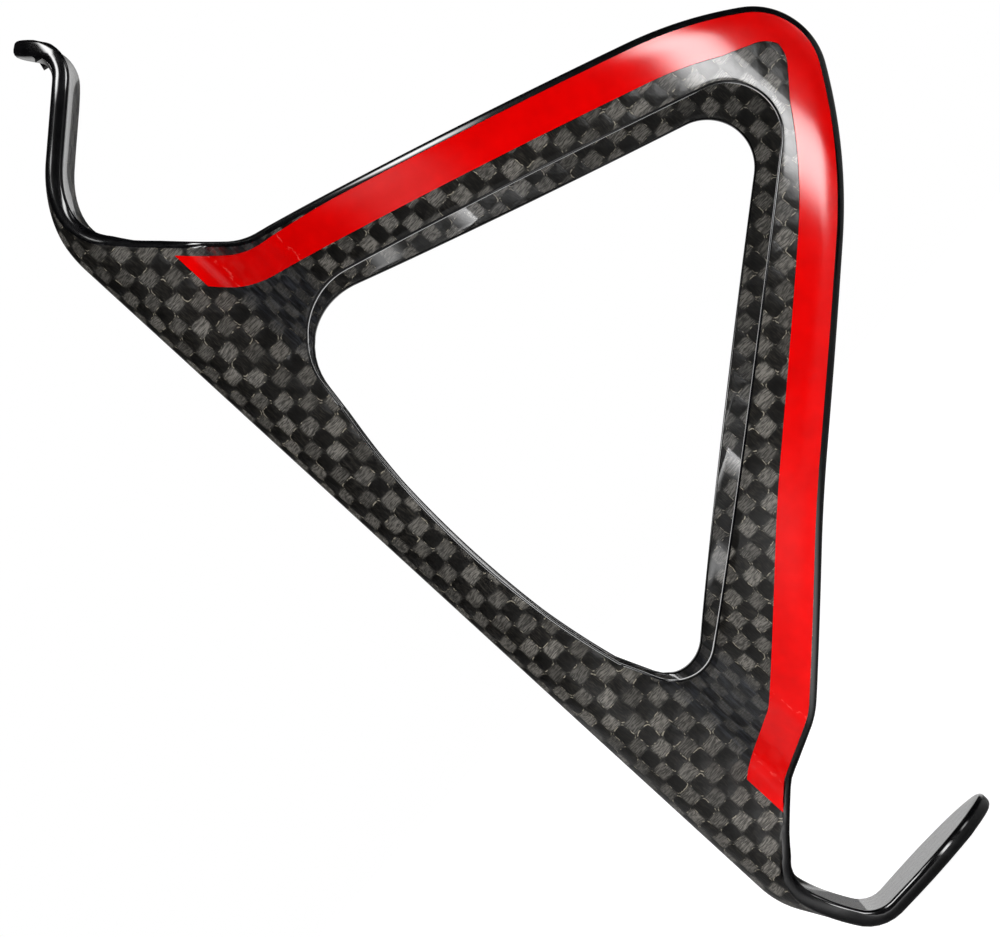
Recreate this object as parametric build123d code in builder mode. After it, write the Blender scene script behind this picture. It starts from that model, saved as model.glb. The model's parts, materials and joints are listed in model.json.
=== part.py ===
"""Water bottle cage for a bicycle: a moulded carbon laminate, piece by piece.

Frame: +X from the bicycle's tube towards the bottle, +Z towards the bottle's mouth. The
origin is the middle of the two bolt holes, on the flat back of the spine. Millimetres.
"""

import os
from math import cos, hypot, radians, sin, sqrt

from build123d import *

# ---- driving dimensions ---------------------------------------------------------------
BOLT_SPACING = 64.0  # standard distance between the two frame bolts
BOLT_HOLE_R = 2.65  # clearance for an M5 screw

SHEET = 1.8  # whole laminate
TAB_SHEET = 1.6  # the tab is a little thinner
PLY = 0.25  # one woven face ply
STRIPE = 0.12  # red film on the outer ply

# spine: a channel, open towards the bottle
CHANNEL_HALF = 13.0  # half of its outside width
CHANNEL_CORNER = 6.0  # outside corner radius
SEAM_X = 7.5  # where a wing's plies are laid against the flank
SPINE_TOP = 50.0
SPINE_FOOT = -47.0
FLANK_TOP = (4.0, SPINE_TOP)  # the flanks fall away above and below the wings' roots
FLANK_SHOULDER = (4.8, 48.6)
FLANK_FOOT = (4.8, SPINE_FOOT)
BEHIND_X = -1.0  # clear of the flat back, for a profile that doesn't trim it

# wings, in plan: flank, step, then an arc round the bottle
STEP_X = 9.5
BOTTLE_X = 46.0  # axis of the bottle
WRAP_R = 38.7  # outer face of a wing
ARC_X = 15.5  # where the step meets the arc
WRAP_END = 130.0  # degrees round from the spine, past the wing's tip
WRAP_MIDDLE = 80.0  # a point between, which fixes the arc

# wings, in side view: (x, z) corners and the radius at each
WING_CORNERS = [(13.5, 38.2), (77.15, 12.26), (17.4, -38.2), (10.6, -41.6)]
WING_RADII = [6.0, 10.0, 4.0, 3.0]
WING_ROOT_TOP = (SEAM_X, 44.7)
WING_ROOT_FOOT = (SEAM_X, -44.3)
WINDOW_TOP = (11.1, 30.2)
WINDOW_TIP = (66.0, 9.84)
WINDOW_FOOT = (11.0, -29.2)
WINDOW_WAIST = (6.0, -1.0)
WINDOW_TOP_R = 7.5
WINDOW_TIP_R = 5.3
WINDOW_FOOT_R = 3.9
CORE_SPLIT_Z = 9.9  # the two arms' tapes meet at the wing's tip

# red stripe, measured inwards from the wing's edge
STRIPE_MARGIN = 0.6
STRIPE_WIDTH = 3.9

# top tab: its line in side view, and its outline from the front
TAB_KNEE_Z = 54.9
TAB_HOOK = (14.8, 65.8)
TAB_TIP = (11.2, 71.0)
TAB_RADII = [9.0, 3.0]
TAB_ROOT_HALF = 11.6
TAB_NECK_HALF = 9.4
TAB_NECK_Z = 59.0
TAB_SHOULDER_HALF = 8.9
TAB_SHOULDER_Z = 63.5
TAB_END_Z = 70.8

# bottom shelf: its top is where the bottle stands
SHELF_Z = -58.9  # middle of the sheet
SHELF_KNEE_Z = -49.5
SHELF_BEND_X = 5.85
SHELF_RADII = [9.0, 4.0]
SHELF_TIP_X = 23.1
SHELF_HALF = 10.5
SHELF_SHOULDER_X = 13.0
SHELF_WAIST_HALF = 9.4
SHELF_WAIST_X = 6.0
SHELF_ROOT_HALF = 11.6

# extra plies round each bolt hole
PATCH_THICK = 0.4
PATCH_WIDTH = 13.0
PATCH_HEIGHT = 20.0
PATCH_CORNER = 5.0

BIG = 100.0  # longer than the cage, for cutting prisms

# depth of each layer below the outer face: from, to
OUTER_PLY = (0.0, PLY)
CORE = (PLY, SHEET - PLY)
INNER_PLY = (SHEET - PLY, SHEET)
RED_FILM = (-STRIPE, 0.0)


# ---- wing profiles --------------------------------------------------------------------
def wing_line(depth: float) -> list[tuple[float, float]]:
    """Corners of a wing's plan line that far inside its outer face."""
    arc_y = sqrt(WRAP_R**2 - (BOTTLE_X - ARC_X) ** 2)
    run, rise = ARC_X - STEP_X, arc_y - CHANNEL_HALF
    length = hypot(run, rise)
    ux, uy = run / length, rise / length
    # a point on the step, moved in, then slid to the flank's line and to the arc
    px, py = STEP_X + uy * depth, CHANNEL_HALF - ux * depth
    flank_y = CHANNEL_HALF - depth
    knee = (px + (flank_y - py) * ux / uy, flank_y)
    radius = WRAP_R - depth
    dx = px - BOTTLE_X
    along = dx * ux + py * uy
    slide = -along - sqrt(along**2 - (dx**2 + py**2 - radius**2))
    shoulder = (px + slide * ux, py + slide * uy)
    return [(SEAM_X, flank_y), knee, shoulder]


def wing_plan(side: int, layer: tuple[float, float]) -> Sketch:
    """One layer of a wing seen from above; side is -1 for left and 1 for right."""
    outer, inner = wing_line(layer[0]), wing_line(layer[1])

    def on_arc(depth: float, angle: float) -> tuple[float, float]:
        r = WRAP_R - depth
        return BOTTLE_X - r * cos(radians(angle)), r * sin(radians(angle))

    with BuildSketch(Plane.XY.offset(-BIG / 2)) as plan:
        with BuildLine():
            Polyline(*outer)
            ThreePointArc(outer[-1], on_arc(layer[0], WRAP_MIDDLE), on_arc(layer[0], WRAP_END))
            Line(on_arc(layer[0], WRAP_END), on_arc(layer[1], WRAP_END))
            ThreePointArc(on_arc(layer[1], WRAP_END), on_arc(layer[1], WRAP_MIDDLE), inner[-1])
            Polyline(*reversed(inner))
            Line(inner[0], outer[0])
        make_face()
        if side < 0:
            mirror(about=Plane.XZ, mode=Mode.REPLACE)
    return plan.sketch


def window_side() -> Sketch:
    """The triangular window between a wing and the spine, in side view."""
    with BuildSketch(Plane.XZ) as window:
        with BuildLine():
            Polyline(WINDOW_FOOT, WINDOW_TIP, WINDOW_TOP)
            ThreePointArc(WINDOW_TOP, WINDOW_WAIST, WINDOW_FOOT)
        make_face()
        fillet(window.vertices().sort_by(Axis.X)[-1], WINDOW_TIP_R)
        fillet(window.vertices().sort_by(Axis.Y)[-1], WINDOW_TOP_R)
        fillet(window.vertices().sort_by(Axis.Y)[0], WINDOW_FOOT_R)
    return window.sketch


def wing_side(inset: float = 0.0) -> Sketch:
    """A wing's outline in side view, filled in, moved in from its edge by inset."""
    with BuildSketch(Plane.XZ) as outline:
        with BuildLine():
            edge = FilletPolyline(
                WING_ROOT_TOP, *WING_CORNERS, WING_ROOT_FOOT, radius=WING_RADII
            )
            Line(edge @ 1, edge @ 0)
        make_face()
        if inset:
            # the root stays on the seam: the outline is made longer there first
            with BuildLine():
                Polyline(
                    WING_ROOT_TOP, WING_ROOT_FOOT, (-BIG, WING_ROOT_FOOT[1]), (-BIG, WING_ROOT_TOP[1]),
                    close=True,
                )
            make_face()
            offset(amount=-inset, kind=Kind.INTERSECTION, mode=Mode.REPLACE)
    return outline.sketch


# ---- spine ----------------------------------------------------------------------------
def channel_plan(layer: tuple[float, float]) -> Sketch:
    """One layer of the spine's channel seen from above."""
    with BuildSketch(Plane.XY.offset(-BIG / 2)) as plan:
        with BuildLine():
            ends = []
            for depth in layer:
                half = CHANNEL_HALF - depth
                wall = FilletPolyline(
                    (SEAM_X, half), (depth, half), (depth, -half), (SEAM_X, -half),
                    radius=CHANNEL_CORNER - depth,
                )
                ends.append((wall @ 0, wall @ 1))
            Line(ends[0][0], ends[1][0])
            Line(ends[0][1], ends[1][1])
        make_face()
    return plan.sketch


def spine_side() -> Sketch:
    """The spine in side view: its flanks fall away to the sheet at both ends."""
    with BuildSketch(Plane.XZ) as outline:
        with BuildLine():
            Polyline(
                (BEHIND_X, SPINE_FOOT), (BEHIND_X, SPINE_TOP), FLANK_TOP, FLANK_SHOULDER,
                WING_ROOT_TOP, WING_ROOT_FOOT, FLANK_FOOT,
                close=True,
            )
        make_face()
    return outline.sketch


def bolt_holes() -> Sketch:
    """The two bolt holes, seen from the back."""
    with BuildSketch(Plane.YZ) as holes:
        with GridLocations(1.0, BOLT_SPACING, 1, 2):
            Circle(BOLT_HOLE_R)
    return holes.sketch


def save(piece: BuildPart, node: str) -> None:
    """Label a finished piece and write it."""
    piece.part.label = node
    export_step(piece.part, f"parts/{node}.step")


os.makedirs("parts", exist_ok=True)

for node, layer in (
    ("spine_outer_ply", OUTER_PLY), ("spine_core", CORE), ("spine_inner_ply", INNER_PLY),
):
    with BuildPart() as spine_layer:
        extrude(channel_plan(layer), amount=BIG)
        extrude(spine_side(), amount=BIG, both=True, mode=Mode.INTERSECT)
        extrude(window_side(), amount=BIG, both=True, mode=Mode.SUBTRACT)
        extrude(bolt_holes(), amount=BIG, both=True, mode=Mode.SUBTRACT)
    save(spine_layer, node)

for node, height in (("upper_bolt_patch", BOLT_SPACING / 2), ("lower_bolt_patch", -BOLT_SPACING / 2)):
    with BuildPart() as bolt_patch:
        with BuildSketch(Plane.YZ.offset(SHEET)):
            with Locations((0, height)):
                RectangleRounded(PATCH_WIDTH, PATCH_HEIGHT, PATCH_CORNER)
                Circle(BOLT_HOLE_R, mode=Mode.SUBTRACT)
        extrude(amount=PATCH_THICK)
    save(bolt_patch, node)

# ---- bottom shelf ---------------------------------------------------------------------
with BuildLine(Plane.XZ) as shelf_line:
    FilletPolyline(
        (SHEET / 2, SPINE_FOOT), (SHEET / 2, SHELF_KNEE_Z), (SHELF_BEND_X, SHELF_Z),
        (SHELF_TIP_X + 2, SHELF_Z), radius=SHELF_RADII,
    )

for node, layer in (
    ("shelf_lower_ply", OUTER_PLY), ("shelf_core", CORE), ("shelf_upper_ply", INNER_PLY),
):
    with BuildPart() as shelf_layer:
        with BuildSketch(Plane.XY.offset(SPINE_FOOT)):
            with Locations((sum(layer) / 2, 0)):
                Rectangle(layer[1] - layer[0], 2 * SHELF_HALF)
        sweep(path=shelf_line.line)
        with BuildSketch(Plane.XY):
            with BuildLine():
                Polyline(
                    (SHELF_SHOULDER_X, SHELF_HALF), (SHELF_WAIST_X, SHELF_WAIST_HALF),
                    (0, SHELF_ROOT_HALF), (-1, SHELF_ROOT_HALF),
                    (-1, -SHELF_ROOT_HALF), (0, -SHELF_ROOT_HALF),
                    (SHELF_WAIST_X, -SHELF_WAIST_HALF), (SHELF_SHOULDER_X, -SHELF_HALF),
                )
                ThreePointArc(
                    (SHELF_SHOULDER_X, -SHELF_HALF), (SHELF_TIP_X, 0), (SHELF_SHOULDER_X, SHELF_HALF)
                )
            make_face()
        extrude(amount=BIG, both=True, mode=Mode.INTERSECT)
    save(shelf_layer, node)

# ---- top tab --------------------------------------------------------------------------
with BuildLine(Plane.XZ) as tab_line:
    FilletPolyline(
        (TAB_SHEET / 2, SPINE_TOP), (TAB_SHEET / 2, TAB_KNEE_Z), TAB_HOOK, TAB_TIP,
        radius=TAB_RADII,
    )

for node, layer in (
    ("tab_back_ply", OUTER_PLY),
    ("tab_core", (PLY, TAB_SHEET - PLY)),
    ("tab_front_ply", (TAB_SHEET - PLY, TAB_SHEET)),
):
    with BuildPart() as tab_layer:
        with BuildSketch(Plane.XY.offset(SPINE_TOP)):
            with Locations((sum(layer) / 2, 0)):
                Rectangle(layer[1] - layer[0], 2 * CHANNEL_HALF)
        sweep(path=tab_line.line)
        with BuildSketch(Plane.YZ):
            with BuildLine():
                Polyline(
                    (TAB_SHOULDER_HALF, TAB_SHOULDER_Z), (TAB_NECK_HALF, TAB_NECK_Z),
                    (TAB_ROOT_HALF, SPINE_TOP), (-TAB_ROOT_HALF, SPINE_TOP),
                    (-TAB_NECK_HALF, TAB_NECK_Z), (-TAB_SHOULDER_HALF, TAB_SHOULDER_Z),
                )
                ThreePointArc(
                    (-TAB_SHOULDER_HALF, TAB_SHOULDER_Z), (0, TAB_END_Z),
                    (TAB_SHOULDER_HALF, TAB_SHOULDER_Z),
                )
            make_face()
        extrude(amount=BIG, both=True, mode=Mode.INTERSECT)
    save(tab_layer, node)

# ---- wings ----------------------------------------------------------------------------
for side, hand in ((-1, "left"), (1, "right")):
    for name, layer in (("outer_ply", OUTER_PLY), ("inner_ply", INNER_PLY)):
        with BuildPart() as wing_ply:
            extrude(wing_plan(side, layer), amount=BIG)
            extrude(wing_side(), amount=BIG, both=True, mode=Mode.INTERSECT)
            extrude(window_side(), amount=BIG, both=True, mode=Mode.SUBTRACT)
        save(wing_ply, f"{hand}_wing_{name}")

    for name, kept in (("upper_core", Keep.TOP), ("lower_core", Keep.BOTTOM)):
        with BuildPart() as wing_core:
            extrude(wing_plan(side, CORE), amount=BIG)
            extrude(wing_side(), amount=BIG, both=True, mode=Mode.INTERSECT)
            extrude(window_side(), amount=BIG, both=True, mode=Mode.SUBTRACT)
            split(bisect_by=Plane.XY.offset(CORE_SPLIT_Z), keep=kept)
        save(wing_core, f"{hand}_wing_{name}")

    with BuildPart() as stripe:
        extrude(wing_plan(side, RED_FILM), amount=BIG)
        extrude(wing_side(STRIPE_MARGIN), amount=BIG, both=True, mode=Mode.INTERSECT)
        extrude(wing_side(STRIPE_MARGIN + STRIPE_WIDTH), amount=BIG, both=True, mode=Mode.SUBTRACT)
    save(stripe, f"{hand}_stripe")
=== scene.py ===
"""Water bottle cage: a moulded carbon laminate, bent up from one flat pattern and dressed.

The shapes are drawn in millimetres and written to the meshes in metres. A flat pattern has
two measures: the girth, round the cage from the middle of its back, and the run, along it
from foot to tip. The run equals the height wherever the spine is straight.
"""

from __future__ import annotations

import json
import logging
import math
from collections.abc import Callable, Sequence
from dataclasses import dataclass, field
from enum import Enum

import bmesh
import bpy
from bmesh.types import BMEdge, BMesh, BMFace, BMVert
from bpy.types import Material, Node, NodeSocket, NodeTree, Object
from mathutils import Matrix, Vector


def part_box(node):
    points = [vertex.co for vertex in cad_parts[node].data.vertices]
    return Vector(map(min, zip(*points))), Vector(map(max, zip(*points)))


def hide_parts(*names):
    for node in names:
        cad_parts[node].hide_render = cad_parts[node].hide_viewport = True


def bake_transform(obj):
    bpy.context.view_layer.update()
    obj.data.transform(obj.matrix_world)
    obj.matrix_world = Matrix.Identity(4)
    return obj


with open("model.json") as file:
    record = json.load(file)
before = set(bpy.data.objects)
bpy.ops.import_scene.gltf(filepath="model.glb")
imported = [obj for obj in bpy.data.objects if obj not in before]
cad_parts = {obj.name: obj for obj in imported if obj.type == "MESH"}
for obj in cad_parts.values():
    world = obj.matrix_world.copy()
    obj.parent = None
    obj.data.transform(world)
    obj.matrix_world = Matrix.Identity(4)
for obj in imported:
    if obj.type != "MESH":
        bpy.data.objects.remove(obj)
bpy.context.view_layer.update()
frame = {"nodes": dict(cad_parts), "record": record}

MM = 0.001
LOG = logging.getLogger("bottle_cage")

Point = tuple[float, float]


def mount(name: str) -> dict:
    """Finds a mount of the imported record.

    Args:
        name: The mount's name.

    Returns:
        The mount's entry.
    """
    return next(m for m in frame["record"]["mounts"] if m["name"] == name)


def low_mm(node: str) -> Vector:
    """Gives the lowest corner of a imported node, in millimetres."""
    return Vector(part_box(node)[0]) / MM


def high_mm(node: str) -> Vector:
    """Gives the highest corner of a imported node, in millimetres."""
    return Vector(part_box(node)[1]) / MM


# ---- lines ------------------------------------------------------------------------------
@dataclass
class RoundedPath:
    """A line of straight stretches joined by tangent arcs.

    Attributes:
        corners: The line's ends and corners.
        radii: The arc's radius at each inner corner.
    """

    corners: list[Point]
    radii: list[float]
    spans: list[tuple] = field(init=False)
    arcs: list[Point] = field(init=False)
    length: float = field(init=False)

    def __post_init__(self) -> None:
        """Lays the straight stretches and arcs end to end."""
        points = [Vector(c) for c in self.corners]
        self.spans, self.arcs, walked, here = [], [], 0.0, points[0]
        for before, corner, after, radius in zip(points, points[1:], points[2:], self.radii):
            u, v = (corner - before).normalized(), (after - corner).normalized()
            turn = math.atan2(u.x * v.y - u.y * v.x, u.dot(v))
            tangent = radius * math.tan(abs(turn) / 2)
            start = corner - u * tangent
            self.spans.append((walked, (start - here).length, here, u, 0.0, 0.0))
            walked += (start - here).length
            self.spans.append((walked, radius * abs(turn), start, u, turn, radius))
            self.arcs.append((walked, walked + radius * abs(turn)))
            walked += radius * abs(turn)
            here = corner + v * tangent
        rest = points[-1] - here
        self.spans.append((walked, rest.length, here, rest.normalized(), 0.0, 0.0))
        self.length = walked + rest.length

    def at(self, distance: float) -> tuple[Vector, Vector]:
        """Walks along the line.

        Args:
            distance: How far from its start.

        Returns:
            The point there, and the direction of travel.
        """
        span = next((s for s in self.spans if distance <= s[0] + s[1]), self.spans[-1])
        walked, _, start, u, turn, radius = span
        along = distance - walked
        if not turn:
            return start + u * along, u.copy()
        sign = math.copysign(1.0, turn)
        angle = sign * along / radius
        side = Vector((-u.y, u.x)) * sign
        heading = Vector(
            (u.x * math.cos(angle) - u.y * math.sin(angle), u.x * math.sin(angle) + u.y * math.cos(angle))
        )
        centre = start + side * radius
        outward = Vector((-heading.y, heading.x)) * -sign
        return centre + outward * radius, heading

    def find(self, measure: Callable[[Vector], float], low: float, high: float) -> float:
        """Finds where a rising or falling measure of the point is zero.

        Args:
            measure: The measure.
            low: A distance on one side of the answer.
            high: A distance on the other side.

        Returns:
            The distance along the line.
        """
        falling = measure(self.at(low)[0]) > 0
        for _ in range(48):
            middle = (low + high) / 2
            if (measure(self.at(middle)[0]) > 0) == falling:
                low = middle
            else:
                high = middle
        return (low + high) / 2


def smooth_through(points: list[Point], value: float) -> float:
    """Reads a monotone cubic through a few points, held level beyond them.

    Args:
        points: The points, in rising order of their first number.
        value: Where to read.

    Returns:
        The second number there.
    """
    if value <= points[0][0]:
        return points[0][1]
    if value >= points[-1][0]:
        return points[-1][1]
    slopes = [(b[1] - a[1]) / (b[0] - a[0]) for a, b in zip(points, points[1:])]
    rates = [slopes[0]]
    for left, right in zip(slopes, slopes[1:]):
        rates.append(0.0 if left * right <= 0 else 2 * left * right / (left + right))
    rates.append(slopes[-1])
    i = next(k for k in range(len(points) - 1) if value <= points[k + 1][0])
    (x0, y0), (x1, y1) = points[i], points[i + 1]
    width = x1 - x0
    t = (value - x0) / width
    return (
        y0 * (1 + 2 * t) * (1 - t) ** 2
        + rates[i] * width * t * (1 - t) ** 2
        + y1 * t * t * (3 - 2 * t)
        + rates[i + 1] * width * t * t * (t - 1)
    )


def ease(value: float, start: float, end: float) -> float:
    """Rises smoothly from 0 at start to 1 at end."""
    t = min(max((value - start) / (end - start), 0.0), 1.0)
    return t * t * (3 - 2 * t)


@dataclass
class Stations:
    """Lines of a grid, laid out section by section.

    Attributes:
        keys: Where each section starts, and where the last one ends.
        counts: How many cells each section has.
    """

    keys: list[float]
    counts: Sequence[int]

    @property
    def total(self) -> int:
        """How many cells there are in all."""
        return sum(self.counts)

    def place(self, fraction: float) -> float:
        """Turns a place in an even grid into a place among the keys.

        Args:
            fraction: The place in the even grid, from 0 to 1.

        Returns:
            The place among the keys.
        """
        cell = fraction * self.total
        for low, high, count in zip(self.keys, self.keys[1:], self.counts):
            if cell <= count + 1e-6:
                return low + (high - low) * cell / count
            cell -= count
        return self.keys[-1]


# ---- materials --------------------------------------------------------------------------
class Side(Enum):
    """The cage's two sides, as seen from the bottle."""

    LEFT = -1
    RIGHT = 1

    @property
    def word(self) -> str:
        """The side's name, as the nodes have it."""
        return self.name.lower()


def linear(hex_colour: str) -> tuple[float, float, float, float]:
    """Turns an sRGB hex colour into the linear values that shaders take.

    Args:
        hex_colour: The colour, such as "#1a1b1d".

    Returns:
        Red, green, blue and alpha.
    """
    parts = [int(hex_colour[i : i + 2], 16) / 255 for i in (1, 3, 5)]
    red, green, blue = (c / 12.92 if c <= 0.04045 else ((c + 0.055) / 1.055) ** 2.4 for c in parts)
    return red, green, blue, 1.0


def feed(tree: NodeTree, node: Node, inputs: dict) -> None:
    """Fills a node's inputs.

    Args:
        tree: The node tree.
        node: The node.
        inputs: Input name or number to a socket, which is linked, or to a value or hex colour.
    """
    for key, value in inputs.items():
        if isinstance(value, NodeSocket):
            tree.links.new(value, node.inputs[key])
        else:
            node.inputs[key].default_value = linear(value) if isinstance(value, str) else value


def add_node(tree: NodeTree, kind: str, inputs: dict, **settings: object) -> Node:
    """Adds a node with its settings and links.

    Args:
        tree: The node tree.
        kind: The node's type.
        inputs: What feed() takes.
        **settings: Properties of the node.

    Returns:
        The node.
    """
    node = tree.nodes.new(kind)
    for name, value in settings.items():
        setattr(node, name, value)
    feed(tree, node, inputs)
    return node


MATH = "ShaderNodeMath"


class Op(Enum):
    """Steps that the patterns are made of: node type, inputs in order, output, settings."""

    ADD = (MATH, (0, 1), 0, {"operation": "ADD"})
    SUBTRACT = (MATH, (0, 1), 0, {"operation": "SUBTRACT"})
    MULTIPLY = (MATH, (0, 1), 0, {"operation": "MULTIPLY"})
    DIVIDE = (MATH, (0, 1), 0, {"operation": "DIVIDE"})
    POWER = (MATH, (0, 1), 0, {"operation": "POWER"})
    MINIMUM = (MATH, (0, 1), 0, {"operation": "MINIMUM"})
    PINGPONG = (MATH, (0, 1), 0, {"operation": "PINGPONG"})
    ABSOLUTE = (MATH, (0,), 0, {"operation": "ABSOLUTE"})
    FLOOR = (MATH, (0,), 0, {"operation": "FLOOR"})
    FRACT = (MATH, (0,), 0, {"operation": "FRACT"})
    JOIN = ("ShaderNodeCombineXYZ", (0, 1, 2), 0, {})
    SHIFT = ("ShaderNodeVectorMath", (0, 1), 0, {"operation": "ADD"})
    DISTANCE = ("ShaderNodeVectorMath", (0, 1), "Value", {"operation": "DISTANCE"})
    NOISE = ("ShaderNodeTexNoise", ("Vector", "Scale", "Detail"), "Fac", {})
    CHANCE = ("ShaderNodeTexWhiteNoise", (0,), "Value", {})
    RAMP = (  # smoothly from 0 at the first value to 1 at the second
        "ShaderNodeMapRange", ("Value", "From Min", "From Max"), "Result",
        {"interpolation_type": "SMOOTHSTEP"},
    )
    MIX = ("ShaderNodeMix", (0, 6, 7), 2, {"data_type": "RGBA"})
    BUMP = ("ShaderNodeBump", ("Height", "Strength", "Distance"), 0, {})


class Source(Enum):
    """Where a pattern reads its place: the piece's own flat pattern, or its coordinates."""

    PATTERN = ("ShaderNodeUVMap", "UV", {"uv_map": "pattern"})
    PANEL = ("ShaderNodeUVMap", "UV", {"uv_map": "panel"})
    OBJECT = ("ShaderNodeTexCoord", "Object", {})


class Recipe:
    """A material under construction."""

    def __init__(self, name: str) -> None:
        """Starts a material with a Principled shader.

        Args:
            name: The material's name.
        """
        self.material = bpy.data.materials.new(name)
        self.material.use_nodes = True
        self.tree = self.material.node_tree

    def put(self, op: Op, *terms: object) -> NodeSocket:
        """Adds a step to the pattern.

        Args:
            op: The kind of step.
            *terms: Its inputs, each a socket, a number or a hex colour. A sum or product takes
                as many as there are.

        Returns:
            The step's result.
        """
        kind, slots, output, settings = op.value
        if len(terms) > len(slots):
            return self.put(op, self.put(op, *terms[:-1]), terms[-1])
        return add_node(self.tree, kind, dict(zip(slots, terms)), **settings).outputs[output]

    def place(self, source: Source) -> tuple[NodeSocket, ...]:
        """Reads a place on the piece.

        Args:
            source: Where to read it.

        Returns:
            The place, and its three parts.
        """
        kind, output, settings = source.value
        place = add_node(self.tree, kind, {}, **settings).outputs[output]
        return place, *add_node(self.tree, "ShaderNodeSeparateXYZ", {0: place}).outputs

    def finish(self, inputs: dict) -> Material:
        """Fills the shader's inputs and gives the material."""
        feed(self.tree, self.tree.nodes["Principled BSDF"], inputs)
        return self.material


@dataclass(frozen=True)
class WovenCarbon:
    """Plain-weave 3K carbon cloth in epoxy, moulded and clear-coated.

    Flat tows cross over and under each other. The lengthwise tows are coloured near black
    and the crossing ones grey-brown with fine fibres, a painted sheen that stands for how tows
    running along the light and across it reflect it. The grey pads get painted shade at their
    ends, the resin between them gets thin pale edges as a painted highlight, and the clear
    coat over all of it is smooth and sharp.
    """

    name: str = "woven_carbon_clear_coated"
    tow_mm: float = 1.9  # width of one tow
    swell: Point = (0.50, 0.535)  # half-size of a swollen tow, across and along, in tow widths
    roundness: float = 5.0
    ragged: float = 0.17
    dark: str = "#080706"
    brown: str = "#312e28"
    # shade and pale: the dark and light ends of the crossing tows' painted sheen
    shade: str = "#11100e"
    pale: str = "#85817a"
    # pale of the resin specks, a painted highlight
    resin_glint: str = "#b3ab98"
    blue: str = "#3d4047"
    deep_blue: str = "#101114"
    step_mm: tuple[float, ...] = (19.2, 33.0)  # girths between which the wing's step lies
    roughness: float = 0.30
    source: Source = Source.PATTERN

    def make(self) -> Material:
        """Builds the material.

        Returns:
            The material.
        """
        r = Recipe(self.name)
        put = r.put
        _, *parts = r.place(self.source)
        if self.source is Source.PATTERN:
            girth, run, _ = parts
        else:
            girth, run = (put(Op.MULTIPLY, part, 1 / MM) for part in parts[1:])
        flat = put(Op.JOIN, girth, run)
        other = put(Op.SHIFT, flat, (31.7, 17.3, 5.0))
        u, v = self.wander(r, girth, flat), self.wander(r, run, other)
        cell_u, cell_v = put(Op.FLOOR, u), put(Op.FLOOR, v)
        in_u, in_v = put(Op.FRACT, u), put(Op.FRACT, v)
        lengthwise = put(Op.PINGPONG, put(Op.ADD, cell_u, cell_v), 1.0)

        def pick(for_across: object, for_length: object) -> NodeSocket:
            """Takes one value on tows that cross and another on tows that run lengthwise."""
            difference = put(Op.SUBTRACT, for_length, for_across)
            return put(Op.ADD, for_across, put(Op.MULTIPLY, difference, lengthwise))

        def off_centre(part: object) -> NodeSocket:
            """Gives the distance from a cell's middle line, from 0 to 0.5."""
            return put(Op.ABSOLUTE, put(Op.SUBTRACT, part, 0.5))

        # each lengthwise tow swells past its cell, with a ragged outline
        across, along = pick(in_v, in_u), pick(in_u, in_v)
        x, y = off_centre(in_u), off_centre(in_v)
        beside_x = self.bulge(r, put(Op.SUBTRACT, 1.0, x), y)
        beside_y = self.bulge(r, x, put(Op.SUBTRACT, 1.0, y))
        ragged = put(Op.MULTIPLY, put(Op.SUBTRACT, put(Op.NOISE, flat, 3.2, 3.0), 0.5), self.ragged)
        outline = pick(put(Op.MINIMUM, beside_x, beside_y), self.bulge(r, x, y))
        reach = put(Op.ADD, outline, ragged)
        hump = put(Op.SUBTRACT, 1.0, put(Op.POWER, put(Op.MINIMUM, reach, 1.0), 2.0))

        # fibres run along each tow
        chance = put(Op.CHANCE, put(Op.JOIN, cell_u, cell_v))
        strand = [
            put(Op.MULTIPLY, part, stretch)
            for part, stretch in ((across, 11.0), (along, 1.6), (chance, 40.0))
        ]
        fibres = put(Op.NOISE, put(Op.JOIN, *strand), 1.5, 3.0)

        # lengthwise tows are coloured black and the crossing ones grey pads of fine fibres, a
        # painted sheen; the pads get painted shade at their ends, and specks of pale resin, a
        # painted highlight, sit in the gaps between them
        pad = put(Op.ADD, self.bulge(r, off_centre(across), off_centre(along)), ragged)
        level = put(Op.ADD, put(Op.MULTIPLY, chance, 0.55), 0.35)
        shine = put(Op.ADD, put(Op.MULTIPLY, put(Op.RAMP, fibres, 0.36, 0.66), 0.8), 0.2)
        # the pads darken towards their outline: painted shade where they dive under their neighbours
        glow = put(Op.MULTIPLY, shine, level, put(Op.RAMP, pad, 1.08, 0.66))
        between = put(Op.MIX, glow, self.shade, self.pale)
        dull = put(Op.MULTIPLY, put(Op.RAMP, fibres, 0.42, 0.72), put(Op.SUBTRACT, 1.2, chance), 0.75)
        tow = put(Op.MIX, dull, self.dark, self.brown)
        body = put(Op.MIX, put(Op.RAMP, reach, 1.0, 0.90), between, tow)
        # a broken pale line in the gaps round the lengthwise tows: the resin's painted highlight
        gap = put(Op.MULTIPLY, put(Op.RAMP, reach, 0.93, 1.0), put(Op.RAMP, reach, 1.09, 1.0))
        broken = put(Op.RAMP, put(Op.NOISE, other, 1.7, 4.0), 0.52, 0.64)
        body = put(Op.MIX, put(Op.MULTIPLY, gap, broken, 0.75), body, self.resin_glint)
        if self.step_mm:
            body = self.stretch(r, girth, run, body)
        return r.finish({
            "Base Color": body,
            "Normal": put(Op.BUMP, put(Op.ADD, hump, put(Op.MULTIPLY, fibres, 0.22)), 0.6, 0.00016),
            "Roughness": put(Op.ADD, put(Op.MULTIPLY, fibres, 0.16), self.roughness),
            "Specular IOR Level": 0.35, "Coat Weight": 0.75, "Coat Roughness": 0.045, "Coat IOR": 1.5,
        })

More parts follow.
